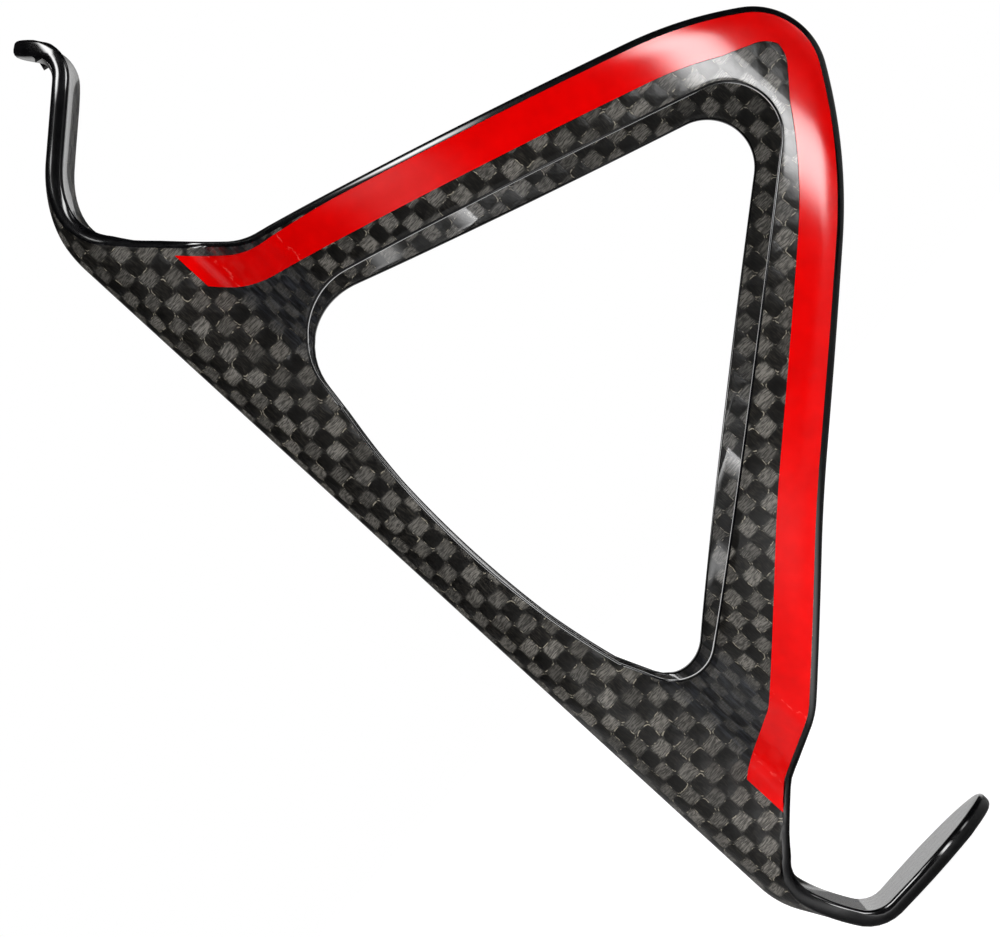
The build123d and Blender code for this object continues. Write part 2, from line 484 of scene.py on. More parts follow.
    def wander(self, r: Recipe, measure: object, vector: object) -> NodeSocket:
        """Counts tows along a measure, which wander a little, as in hand-laid cloth.

        Args:
            r: The material under construction.
            measure: The girth or the run.
            vector: Where the wandering is read.

        Returns:
            The measure in tows.
        """
        drift, wobble = (
            r.put(Op.MULTIPLY, r.put(Op.SUBTRACT, r.put(Op.NOISE, vector, scale), 0.5), size)
            for scale, size in ((0.16, 0.7), (1.1, 0.16))
        )
        return r.put(Op.ADD, r.put(Op.DIVIDE, r.put(Op.ADD, measure, drift), self.tow_mm), wobble)

    def bulge(self, r: Recipe, x: object, y: object) -> NodeSocket:
        """Measures a swollen tow from its middle.

        Args:
            r: The material under construction.
            x: How far across the tow, in tow widths.
            y: How far along it.

        Returns:
            The measure, which is 1 at the tow's outline.
        """
        powers = (
            r.put(Op.POWER, r.put(Op.DIVIDE, part, size), self.roundness)
            for part, size in zip((x, y), self.swell)
        )
        return r.put(Op.POWER, r.put(Op.ADD, *powers), 1 / self.roundness)

    def stretch(self, r: Recipe, girth: object, run: object, body: object) -> NodeSocket:
        """Clouds the cloth where it is stretched over the wing's step, with bluish streaks.

        Args:
            r: The material under construction.
            girth: The girth.
            run: The run.
            body: The cloth's colour.

        Returns:
            The clouded colour.
        """
        low, high = self.step_mm
        side = r.put(Op.ABSOLUTE, girth)
        over = (r.put(Op.RAMP, side, low - 0.6, low + 1.2), r.put(Op.RAMP, side, high, high - 3.0))
        drawn = r.put(Op.JOIN, r.put(Op.MULTIPLY, girth, 2.6), r.put(Op.MULTIPLY, run, 0.4))
        cloud = r.put(Op.RAMP, r.put(Op.NOISE, drawn, 1.0, 4.0), 0.42, 0.72)
        streaks = r.put(Op.MIX, cloud, self.deep_blue, self.blue)
        return r.put(Op.MIX, r.put(Op.MULTIPLY, *over, 0.62), body, streaks)


@dataclass(frozen=True)
class LaminateEdge:
    """The trimmed edge of the laminate: cut tape ends, rubbed round and clear-coated.

    It has no weave to show, so it looks black, with a sharp highlight along its curve and
    the faintest grain along the edge.
    """

    name: str = "laminate_edge_clear_coated"
    black: str = "#040405"
    grey: str = "#0e0e10"

    def make(self) -> Material:
        """Builds the material.

        Returns:
            The material.
        """
        r = Recipe(self.name)
        grain = r.put(Op.NOISE, r.place(Source.OBJECT)[0], 900.0, 3.0)
        return r.finish({
            "Base Color": r.put(Op.MIX, r.put(Op.RAMP, grain, 0.4, 0.7), self.black, self.grey),
            "Normal": r.put(Op.BUMP, grain, 0.25, 0.00005),
            "Roughness": 0.35, "Specular IOR Level": 0.1, "Coat Weight": 1.0, "Coat Roughness": 0.03,
        })


@dataclass(frozen=True)
class RedFilm:
    """A gloss red decorative film under the clear coat.

    Its colour is a pure deep red, a little uneven, and it wrinkles finely where it is
    pulled over the step at the wing's root, with pale lines along those creases painted
    as the highlight its wrinkles catch.
    """

    name: str = "red_film_clear_coated"
    red: str = "#f60000"
    deep: str = "#d20000"
    wrinkle_glint: str = "#ff5f57"
    creases_mm: tuple[float, ...] = (20.6, 33.0)

    def make(self) -> Material:
        """Builds the material.

        Returns:
            The material.
        """
        r = Recipe(self.name)
        put = r.put
        place, girth, *_ = r.place(Source.PATTERN)
        body = put(Op.MIX, put(Op.NOISE, place, 0.35), self.red, self.deep)
        waver = put(Op.MULTIPLY, put(Op.SUBTRACT, put(Op.NOISE, place, 0.55, 3.0), 0.5), 2.6)
        patchy = put(Op.RAMP, put(Op.NOISE, place, 1.3), 0.42, 0.62)
        # pale lines along the creases: painted highlight of the wrinkled film
        for crease in self.creases_mm:
            along = put(Op.SUBTRACT, put(Op.ADD, put(Op.ABSOLUTE, girth), waver), crease)
            line = put(Op.RAMP, put(Op.ABSOLUTE, along), 0.22, 0.02)
            body = put(Op.MIX, put(Op.MULTIPLY, line, patchy, 0.5), body, self.wrinkle_glint)
        return r.finish({
            "Base Color": body,
            "Normal": put(Op.BUMP, put(Op.NOISE, place, 2.4, 3.0), 0.12, 0.00006),
            "Roughness": 0.42, "Specular IOR Level": 0.0, "Coat Weight": 1.0, "Coat Roughness": 0.15,
        })


# ---- the cage ---------------------------------------------------------------------------
class Slot(Enum):
    """Material slots of a shell."""

    SKIN = 0
    EDGE = 1


@dataclass
class CrossSection:
    """The cage's outer line seen from above, measured by its girth.

    A flat back, a round corner, a flat flank, a small hollow, a flat step, then an arc
    round the bottle.
    """

    half_width: float = field(default_factory=lambda: high_mm("spine_outer_ply").y)
    corner: float = 6.0
    hollow: float = 3.0
    knee_x: float = 9.5
    shoulder_x: float = 15.5
    bottle_x: float = field(default_factory=lambda: mount("bottle_seat")["pos_m"][0] / MM)
    wrap: float = field(default_factory=lambda: high_mm("right_wing_outer_ply").y)

    def __post_init__(self) -> None:
        """Works out where each part of the line starts."""
        self.flat = self.half_width - self.corner
        self.corner_end = self.flat + self.corner * math.pi / 2
        shoulder_y = math.sqrt(self.wrap**2 - (self.bottle_x - self.shoulder_x) ** 2)
        self.slant = math.atan2(shoulder_y - self.half_width, self.shoulder_x - self.knee_x)
        self.hollow_x = self.knee_x - self.hollow * math.tan(self.slant / 2)
        self.hollow_start = self.corner_end + self.hollow_x - self.corner
        self.step_start = self.hollow_start + self.hollow * self.slant
        self.step_x = self.hollow_x + self.hollow * math.sin(self.slant)
        self.step_y = self.half_width + self.hollow * (1 - math.cos(self.slant))
        self.arc_start = self.step_start + (self.shoulder_x - self.step_x) / math.cos(self.slant)
        self.arc_angle = math.acos((self.bottle_x - self.shoulder_x) / self.wrap)

    def place(self, girth: float, fall: float = 0.0) -> Point:
        """Places a point of the line.

        Args:
            girth: Its girth.
            fall: How far it lies inside the line, on the arc round the bottle.

        Returns:
            Its depth from the back and its distance from the middle plane.
        """
        if girth <= self.flat:
            return 0.0, girth
        if girth <= self.corner_end:
            angle = (girth - self.flat) / self.corner
            return self.corner * (1 - math.cos(angle)), self.flat + self.corner * math.sin(angle)
        if girth <= self.hollow_start:
            return self.corner + girth - self.corner_end, self.half_width
        if girth <= self.step_start:
            angle = (girth - self.hollow_start) / self.hollow
            rise = self.hollow * (1 - math.cos(angle))
            return self.hollow_x + self.hollow * math.sin(angle), self.half_width + rise
        if girth <= self.arc_start:
            along = girth - self.step_start
            sine, cosine = math.sin(self.slant), math.cos(self.slant)
            return self.step_x + along * cosine + fall * sine, self.step_y + along * sine - fall * cosine
        angle = self.arc_angle + (girth - self.arc_start) / self.wrap
        radius = self.wrap - fall
        return self.bottle_x - radius * math.cos(angle), radius * math.sin(angle)

    def inwards(self, girth: float, thickness: float) -> Point:
        """Gives the step from the outer line to the laminate's inner face.

        It is square to the back and its corners. From the flanks on it is straight across
        the cage, because the wings' edges are trimmed across.

        Args:
            girth: Where on the outer line.
            thickness: The laminate's thickness.

        Returns:
            The step's depth and its distance across.
        """
        if girth <= self.corner_end:
            angle = max(girth - self.flat, 0.0) / self.corner
            return thickness * math.cos(angle), -thickness * math.sin(angle)
        depth, lateral = self.place(girth)
        inner = self.half_width - thickness
        if depth > self.hollow_x:
            step = self.half_width + (depth - self.knee_x) * math.tan(self.slant)
            step -= thickness / math.cos(self.slant)
            reach = (self.wrap - thickness) ** 2 - (self.bottle_x - depth) ** 2
            inner = max(inner, min(step, math.sqrt(reach)) if reach > inner**2 else step)
        return 0.0, inner - lateral

    def girth_at(self, depth: float) -> float:
        """Gives the girth at a depth.

        Args:
            depth: The distance from the back.

        Returns:
            The girth.
        """
        if depth <= self.corner:
            return self.flat + self.corner * math.acos(1 - max(depth, 0.0) / self.corner)
        if depth <= self.hollow_x:
            return self.corner_end + depth - self.corner
        if depth <= self.step_x:
            return self.hollow_start + self.hollow * math.asin((depth - self.hollow_x) / self.hollow)
        if depth <= self.shoulder_x:
            return self.step_start + (depth - self.step_x) / math.cos(self.slant)
        angle = math.acos((self.bottle_x - depth) / self.wrap)
        return self.arc_start + self.wrap * (angle - self.arc_angle)


@dataclass
class CageShell:
    """The laminate shell: spine, tab, shelf and both wings, bent up from one flat pattern."""

    section: CrossSection = field(default_factory=CrossSection)
    seam_x: float = field(default_factory=lambda: low_mm("right_wing_outer_ply").x)
    sheet: float = 1.74
    edge_round: float = 0.78
    inner_round: float = 0.45
    trim_round: float = 0.22
    rim_cell: float = 0.85
    slanted_rim: float = 1.25
    end_row: float = 0.24  # share of the rounded end that its last row takes
    shoulder_fall: float = 0.3
    shoulder_width: float = 2.4
    wing_cells: int = 14
    girth_cells: int = 40

    # side view, as (depth, height)
    wing_root_top: Point = (7.5, 44.7)
    wing_root_foot: Point = (7.5, -44.3)
    wing_corners: tuple[Point, ...] = (
        (13.3, 37.9), (26.0, 32.9), (59.8, 19.7), (70.5, 11.8), (61.4, -1.7), (33.4, -23.7), (17.2, -38.2),
        (10.6, -41.6),
    )
    wing_radii: tuple[float, ...] = (7.0, 51.6, 47.4, 7.3, 59.0, 160.0, 9.0, 3.0)
    window_corners: tuple[Point, ...] = ((9.7, 31.1), (65.3, 9.5), (11.0, -29.0))
    window_radii: tuple[float, ...] = (7.5, 5.3, 3.9)
    waist_x: float = 5.4
    waist_z: float = -1.0
    waist_radius: float = 89.7
    root_top_x: float = 11.1
    root_foot_x: float = 10.4

    # the run's line in side view, at the middle of the sheet, from shelf tip to tab tip
    run_corners: tuple[Point, ...] = (
        (26.0, -58.9), (5.85, -58.9), (0.9, -49.5), (0.9, 54.9), (14.9, 65.8), (10.4, 73.0),
    )
    run_radii: tuple[float, ...] = (4.0, 9.0, 13.0, 3.0)
    shelf_tip_x: float = field(default_factory=lambda: high_mm("shelf_core").x)
    tab_tip_z: float = field(default_factory=lambda: high_mm("tab_core").z)
    tab_crown: float = 0.006
    shelf_trim: float = 0.05  # how far the sheet's middle stays inside the shelf's tip
    tab_trim: float = 0.38

    # the flat pattern, as (run, half-width)
    tab_edge: tuple[Point, ...] = (
        (46.0, 16.75), (48.6, 14.65), (51.8, 12.4), (55.0, 11.0), (58.5, 10.2), (63.0, 9.9), (66.0, 9.9),
    )
    shelf_edge: tuple[Point, ...] = (
        (-74.0, 10.5), (-66.0, 10.5), (-60.0, 9.7), (-55.5, 10.2), (-51.8, 11.3), (-48.4, 13.4),
        (-46.0, 16.0),
    )
    tab_opening: Point = (51.0, 59.0)  # runs over which the section flattens
    shelf_opening: Point = (49.0, 57.0)
    wing_counts: tuple[int, ...] = (12, 70, 34, 84, 12)  # cells between a wing's stations
    wing_height: float = 47.0  # the wings lie within this height of the middle
    outline_length: float = 380.0  # the laminate's outline is the only loop longer than this
    bolt_block: float = 4.4  # half-size of the block of faces opened for a bolt hole
    bolt_search: float = 7.5

    def __post_init__(self) -> None:
        """Lays out the side view's lines."""
        self.outline = RoundedPath(
            [self.wing_root_top, *self.wing_corners, self.wing_root_foot], list(self.wing_radii)
        )
        reach = self.waist_reach(self.seam_x)
        self.window = RoundedPath(
            [(self.seam_x, self.waist_z + reach), *self.window_corners, (self.seam_x, self.waist_z - reach)],
            list(self.window_radii),
        )
        self.run = RoundedPath(list(self.run_corners), list(self.run_radii))
        # the run is measured so that it equals the height on the straight spine
        straight = self.run.arcs[1][1]
        self.run_zero = straight - self.run.at(straight)[0].y
        self.outline_marks = self.marks(self.outline, self.outline.arcs[3])
        self.window_marks = self.marks(self.window, self.window.arcs[1])
        self.run_foot = self.run.find(lambda p: p.x - self.shelf_tip_x + self.shelf_trim, 0.0, 12.0)
        self.run_foot -= self.run_zero
        last = self.run.spans[-1][0]
        self.run_tip = self.run.find(lambda p: p.y - self.tab_tip_z + self.tab_trim, last, self.run.length)
        self.run_tip -= self.run_zero

    def waist_reach(self, depth: float) -> float:
        """Gives how far from its middle the window's back edge is at a depth."""
        inside = self.waist_radius - (depth - self.waist_x)
        return math.sqrt(self.waist_radius**2 - inside**2)

    def marks(self, line: RoundedPath, tip: Point) -> list[float]:
        """Finds the wing's stations on one of its two edges.

        Args:
            line: The edge.
            tip: The distances at which its curve at the wing's tip starts and ends.

        Returns:
            Distances: root, shoulder, the tip's curve from start to end, shoulder, root.
        """
        shoulder = self.section.shoulder_x
        down = [line.find(lambda p, x=x: p.x - x, 0.0, tip[0]) for x in (self.root_top_x, shoulder)]
        back = [line.find(lambda p, x=x: p.x - x, tip[1], line.length) for x in (shoulder, self.root_foot_x)]
        return [*down, *tip, *back]

    # -- the flat pattern --
    def edge_girth(self, run: float) -> float:
        """Gives the pattern's half-width.

        Args:
            run: Where along the spine, tab or shelf.

        Returns:
            The half-width, as a girth.
        """
        outer_top, outer_foot = (self.outline.at(self.outline_marks[i])[0] for i in (0, -1))
        inner_top, inner_foot = (self.window.at(self.window_marks[i])[0] for i in (0, -1))
        top, foot = self.wing_root_top[1], self.wing_root_foot[1]
        if run >= top:
            return smooth_through([(top, self.section.girth_at(self.seam_x)), *self.tab_edge], run)
        if run <= foot:
            return smooth_through([*self.shelf_edge, (foot, self.section.girth_at(self.seam_x))], run)
        if run > outer_top.y:
            along = self.outline.find(lambda p: p.y - run, 0.0, self.outline_marks[0])
            return self.section.girth_at(self.outline.at(along)[0].x)
        if run < outer_foot.y:
            along = self.outline.find(lambda p: p.y - run, self.outline_marks[-1], self.outline.length)
            return self.section.girth_at(self.outline.at(along)[0].x)
        if inner_foot.y < run < inner_top.y:
            away = run - self.waist_z
            if abs(away) <= self.waist_reach(self.seam_x):
                depth = self.waist_x + self.waist_radius - math.sqrt(self.waist_radius**2 - away**2)
            elif away > 0:
                depth = self.window.at(self.window.find(lambda p: p.y - run, 0.0, self.window_marks[0]))[0].x
            else:
                low = self.window_marks[-1]
                depth = self.window.at(self.window.find(lambda p: p.y - run, low, self.window.length))[0].x
            return self.section.girth_at(depth)
        return self.section.girth_at(self.root_top_x if run > 0 else self.root_foot_x)

    def spine_point(self, across: float, run: float) -> Point:
        """Places a point of the spine's grid on the flat pattern.

        Args:
            across: From 0 at the middle to 1 at the edge.
            run: The row's run.

        Returns:
            Girth and run.
        """
        tip_half, foot_half = self.tab_edge[-1][1], self.shelf_edge[0][1]
        tip_start, foot_start = self.run_tip - tip_half, self.run_foot + foot_half
        if run > tip_start:
            return self.round_end(across, (run - tip_start) / tip_half, tip_half, tip_start, 1.0)
        if run < foot_start:
            return self.round_end(across, (foot_start - run) / foot_half, foot_half, foot_start, -1.0)
        half = self.edge_girth(run)
        slope = (self.edge_girth(run + 0.05) - self.edge_girth(run - 0.05)) / 0.1
        return self.inset(across, half, self.rim_cell * math.hypot(1.0, min(abs(slope), 1.2))), run

    def inset(self, across: float, half: float, rim: float) -> float:
        """Spaces the grid's lines evenly, except for a wider cell at the rim.

        Args:
            across: From 0 at the middle to 1 at the edge.
            half: The half-width.
            rim: How wide the last cell is.

        Returns:
            The distance from the middle.
        """
        last = 1 - 1 / self.girth_cells
        if across > last + 1e-4:
            return half
        return (half - rim) * across / last

    def round_end(self, across: float, part: float, half: float, start: float, sign: float) -> Point:
        """Places a point on the rounded end of the tab or shelf.

        Args:
            across: From 0 at the middle to 1 at the edge.
            part: From 0 where the rounding starts to 1 at the tip.
            half: The end's radius.
            start: The run at which the rounding starts.
            sign: 1 at the tab, -1 at the shelf.

        Returns:
            Girth and run.
        """
        quarter = math.pi / 4
        angle = part * quarter
        side = half * math.cos(angle)
        share = self.inset(across, side, self.rim_cell * (1 + 0.5 * part)) / side
        bowed = math.sin(quarter * share) / math.sin(quarter)
        girth = side * ((1 - part) * share + part * bowed)
        rise = half * math.sin(angle) + part * half * (math.cos(quarter * share) - math.cos(quarter))
        return girth, start + sign * rise

    def spine_rows(self) -> Stations:
        """Lays out the spine's rows, with the wings' grids in step with them.

        Returns:
            The rows, from the shelf's tip to the tab's.
        """
        tip_half, foot_half = self.tab_edge[-1][1], self.shelf_edge[0][1]
        outer_top, outer_foot = (self.outline.at(self.outline_marks[i])[0].y for i in (0, -1))
        inner_top, inner_foot = (self.window.at(self.window_marks[i])[0].y for i in (0, -1))
        rim, inside = self.slanted_rim, self.wing_cells - 2
        keys = [
            self.run_foot, self.run_foot + self.end_row * foot_half, self.run_foot + foot_half, -50.0,
            outer_foot, outer_foot + rim, inner_foot - rim, inner_foot,
            inner_top, inner_top + rim, outer_top - rim, outer_top,
            50.0, self.run_tip - tip_half, self.run_tip - self.end_row * tip_half, self.run_tip,
        ]
        counts = [1, 10, 22, 14, 1, inside, 1, 64, 1, inside, 1, 14, 24, 14, 1]
        return Stations(keys, counts)

    def add_spine(self, sheet: BMesh) -> None:
        """Adds half of the spine, tab and shelf to the flat pattern.

        Args:
            sheet: The flat pattern.
        """
        rows = self.spine_rows()
        made = bmesh.ops.create_grid(sheet, x_segments=self.girth_cells, y_segments=rows.total, size=0.5)
        for vert in made["verts"]:
            girth, run = self.spine_point(vert.co.x + 0.5, rows.place(vert.co.y + 0.5))
            vert.co = (girth, 0.0, run)

    def add_wing(self, sheet: BMesh) -> None:
        """Adds a wing to the flat pattern, from the spine round its tip and back.

        Args:
            sheet: The flat pattern.
        """
        counts = self.wing_counts
        outer, inner = Stations(self.outline_marks, counts), Stations(self.window_marks, counts)
        made = bmesh.ops.create_grid(sheet, x_segments=outer.total, y_segments=self.wing_cells, size=0.5)
        for vert in made["verts"]:
            along = vert.co.x + 0.5
            edge, heading = self.outline.at(outer.place(along))
            gap = self.window.at(inner.place(along))[0]
            way = (gap - edge).normalized()
            # the rungs lean, so their first cell is longer than it is wide
            upright = max(abs(heading.x * way.y - heading.y * way.x), 0.6)
            from_root = min(along, 1 - along) * outer.total / counts[0]
            rim = self.slanted_rim + (self.rim_cell / upright - self.slanted_rim) * ease(from_root, 0.0, 1.0)
            share = rim / (edge - gap).length
            row = round((vert.co.y + 0.5) * self.wing_cells)
            if row in (0, self.wing_cells):
                across = row / self.wing_cells
            else:
                across = share + (1 - 2 * share) * (row - 1) / (self.wing_cells - 2)
            spot = edge.lerp(gap, across)
            fall = self.fall(across * (edge - gap).length) * ease(from_root, 0.0, 1.6)
            vert.co = (self.section.girth_at(spot.x), fall, spot.y)

    def fall(self, from_edge: float) -> float:
        """Gives how far the wing's face falls in, at a distance from its outer edge."""
        near = max(1 - from_edge / self.shoulder_width, 0.0)
        return self.shoulder_fall * near * near

    def add_bolt_holes(self, sheet: BMesh) -> None:
        """Opens the two bolt holes in the flat pattern, each with a ring of faces round it.

        Args:
            sheet: The flat pattern.
        """
        pattern = mount("frame_bolts")["dims"]
        for sign in (-1, 1):
            hole = Vector((0, 0, sign * pattern["spacing_y_mm"] / 2))
            block = [
                f for f in sheet.faces
                if max(abs(c) for c in f.calc_center_median() - hole) < self.bolt_block
            ]
            bmesh.ops.delete(sheet, geom=block, context="FACES")
            open_edges = [e for e in sheet.edges if e.is_boundary]
            rim = [e for e in open_edges if (e.verts[0].co - hole).length < self.bolt_search]
            ring = bmesh.ops.create_circle(
                sheet, cap_ends=False, segments=len(rim), radius=pattern["hole_r_mm"],
                matrix=Matrix.Translation(hole) @ Matrix.Rotation(math.radians(90), 4, "X"),
            )
            loop = {e for v in ring["verts"] for e in v.link_edges}
            bmesh.ops.bridge_loops(sheet, edges=rim + list(loop))

    def flat_pattern(self) -> BMesh:
        """Draws the whole laminate as a flat sheet, with its measures as coordinates.

        Returns:
            The flat pattern.
        """
        sheet = bmesh.new()
        self.add_spine(sheet)
        self.add_wing(sheet)
        bmesh.ops.mirror(sheet, geom=sheet.verts[:] + sheet.edges[:] + sheet.faces[:], axis="X")
        bmesh.ops.remove_doubles(sheet, verts=sheet.verts, dist=0.02)
        self.add_bolt_holes(sheet)
        bmesh.ops.recalc_face_normals(sheet, faces=sheet.faces)
        sheet.normal_update()
        if next(iter(sheet.faces)).normal.y < 0:
            bmesh.ops.reverse_faces(sheet, faces=sheet.faces)
        layer = sheet.loops.layers.uv.new("pattern")
        for face in sheet.faces:
            for loop in face.loops:
                loop[layer].uv = (loop.vert.co.x, loop.vert.co.z)
        return sheet

    # -- bending --
    def bend(self, girth: float, run: float, fall: float, inner: bool) -> Vector:
        """Gives where a point of the flat pattern lies on the finished cage.

        Args:
            girth: Its girth, negative on the left.
            run: Its run.
            fall: How far it lies inside the outer face.
            inner: Whether it is on the inner face instead.

        Returns:
            The point, in millimetres.
        """
        depth, lateral = self.section.place(abs(girth), 0.0 if inner else fall)
        opened = max(ease(run, *self.tab_opening), ease(-run, *self.shelf_opening))
        crown = self.tab_crown * girth * girth if run > 0 else 0.0
        depth += (crown - depth) * opened
        lateral += (abs(girth) - lateral) * opened
        if inner:
            deeper, across = self.section.inwards(abs(girth), self.sheet)
            depth += deeper + (self.sheet - deeper) * opened
            lateral += across * (1 - opened)
        middle, heading = self.run.at(run + self.run_zero)
        inward = Vector((heading.y, -heading.x))
        spot = middle + inward * (depth - self.run_corners[2][0])
        return Vector((spot.x, math.copysign(lateral, girth), spot.y))

    def solid(self) -> BMesh:
        """Bends the pattern in two layers, rounds its edges and cuts the seams.

        Returns:
            The shell, in one piece.
        """
        shell = self.flat_pattern()
        layers = bmesh.ops.extrude_face_region(shell, geom=shell.faces[:], use_keep_orig=True)
        inner = {v for v in layers["geom"] if isinstance(v, BMVert)}
        bmesh.ops.reverse_faces(shell, faces=[f for f in layers["geom"] if isinstance(f, BMFace)])
        for vert in shell.verts:
            vert.co = self.bend(vert.co.x, vert.co.z, vert.co.y, vert in inner)
        sides = [f for f in shell.faces if 0 < sum(v in inner for v in f.verts) < len(f.verts)]
        for face in sides:
            face.material_index = Slot.EDGE.value
        bmesh.ops.recalc_face_normals(shell, faces=shell.faces)
        rims = {e for f in sides for e in f.edges if sum(v in inner for v in e.verts) != 1}
        for loop in self.loops(rims):
            outline = sum(e.calc_length() for e in loop) > self.outline_length
            inside = next(iter(loop)).verts[0] in inner
            width = (self.inner_round if inside else self.edge_round) if outline else self.trim_round
            rounded = bmesh.ops.bevel(
                shell, geom=list(loop), offset=width, segments=4 if outline else 3, profile=0.5,
                affect="EDGES", material=-1,
            )
            for face in rounded["faces"]:
                face.material_index = Slot.EDGE.value
        middle = [v for v in shell.verts if abs(v.co.z) < self.wing_height]
        edges = {e for v in middle for e in v.link_edges}
        faces = {f for v in middle for f in v.link_faces}
        bmesh.ops.bisect_plane(
            shell, geom=[*middle, *edges, *faces], dist=0.001,
            plane_co=(self.seam_x, 0, 0), plane_no=(1, 0, 0),
        )
        return shell

    def loops(self, edges: set[BMEdge]) -> list[set[BMEdge]]:
        """Sorts edges into closed loops.

        Args:
            edges: The edges of all loops.

        Returns:
            The loops.
        """
        waiting, found = set(edges), []
        while waiting:
            loop, front = set(), [waiting.pop()]
            while front:
                edge = front.pop()
                loop.add(edge)
                beside = {e for v in edge.verts for e in v.link_edges} & waiting
                waiting -= beside
                front.extend(beside)
            found.append(loop)
        return found

    def in_wing(self, face: BMFace, side: Side) -> bool:
        """Tells whether a face of the shell belongs to the wing on one side."""
        centre = face.calc_center_median()
        return centre.x > self.seam_x and abs(centre.z) < self.wing_height and centre.y * side.value > 0

    def part(self, solid: BMesh, name: str, keep: Callable[[BMFace], bool]) -> Object:
        """Makes a piece from some of the shell's faces.

        Args:
            solid: The whole shell.
            name: The piece's name.
            keep: Tells whether a face is part of the piece.

        Returns:
            The piece.
        """
        piece = solid.copy()
        bmesh.ops.delete(piece, geom=[f for f in piece.faces if not keep(f)], context="FACES")
        return as_object(piece, name)

    def build(self) -> dict[str, Object]:
        """Builds the shell as three pieces that meet along the wings' seams.

        Returns:
            The spine and both wings by name.
        """
        solid = self.solid()
        pieces = {
            "spine": self.part(
                solid, "laminate_spine", lambda f: not any(self.in_wing(f, side) for side in Side)
            )
        }
        for side in Side:
            name = f"laminate_{side.word}_wing"
            pieces[side.word] = self.part(solid, name, lambda f: self.in_wing(f, side))
        solid.free()
        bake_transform(pieces["spine"])
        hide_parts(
            "spine_outer_ply", "spine_core", "spine_inner_ply",
            "shelf_lower_ply", "shelf_core", "shelf_upper_ply", "tab_back_ply", "tab_core", "tab_front_ply",
        )
        plies = ("outer_ply", "upper_core", "lower_core", "inner_ply")
        for side in Side:
            bend_with_wing(pieces[side.word], side)
            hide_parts(*(f"{side.word}_wing_{ply}" for ply in plies))
        return pieces

    def dress(self, pieces: dict[str, Object], skin: WovenCarbon, edge: LaminateEdge) -> None:
        """Gives the pieces their woven skin and their trimmed edge.

        Args:
            pieces: The spine and both wings.
            skin: The finish of the faces.
            edge: The finish of the trimmed edge.
        """
        skin_material, edge_material = skin.make(), edge.make()
        for piece in pieces.values():
            piece.data.materials.append(skin_material)
            piece.data.materials.append(edge_material)


def as_object(mesh: BMesh, name: str) -> Object:
    """Turns a mesh drawn in millimetres into a smooth-shaded object in metres.

    Args:
        mesh: The mesh, which is freed.
        name: The object's name.

    Returns:
        The object, at the origin.
    """
    bmesh.ops.scale(mesh, vec=(MM, MM, MM), verts=mesh.verts)
    for face in mesh.faces:
        face.smooth = True
    data = bpy.data.meshes.new(name)
    mesh.to_mesh(data)
    mesh.free()
    piece = bpy.data.objects.new(name, data)
    bpy.context.scene.collection.objects.link(piece)
    return piece


def bend_with_wing(piece: Object, side: Side) -> None:
    """Bakes a piece's placement into its mesh, without bending it."""
    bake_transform(piece)


